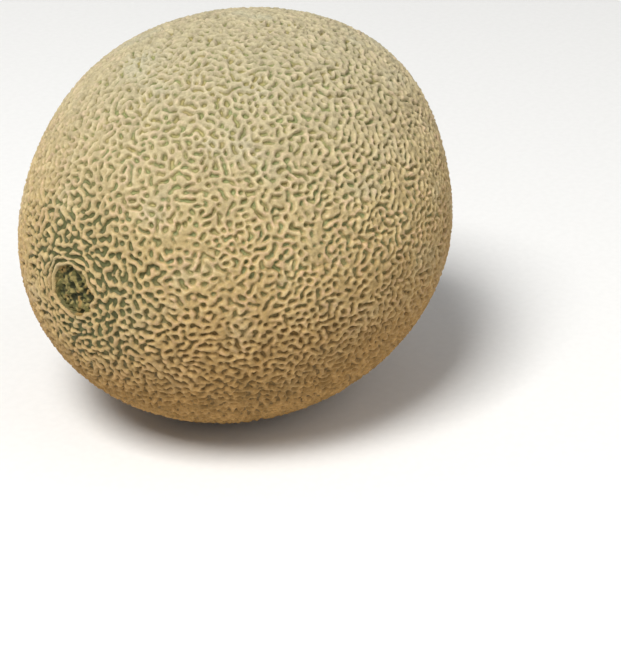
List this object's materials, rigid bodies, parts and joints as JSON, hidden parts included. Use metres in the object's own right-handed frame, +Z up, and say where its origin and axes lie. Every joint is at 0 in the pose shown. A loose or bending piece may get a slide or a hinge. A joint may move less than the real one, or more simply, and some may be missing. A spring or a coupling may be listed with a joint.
{
  "type": "cantaloupe melon",
  "caption": "Whole ripe netted melon lying on its side: a slightly long, closed solid with a raised cork net, a round stem scar at one end and a small blossom scar at the other.",
  "frame": {"origin": "under the middle of the melon, on the small flat spot that it rests on", "axes": "+X along the melon from the stem scar to the blossom scar, +Z up"},
  "size_m": [0.171, 0.1458, 0.1433],
  "materials": {
    "netted_rind": "matte"
  },
  "bodies": {
    "root": {"melon": "netted_rind"}
  },
  "joints": []
}
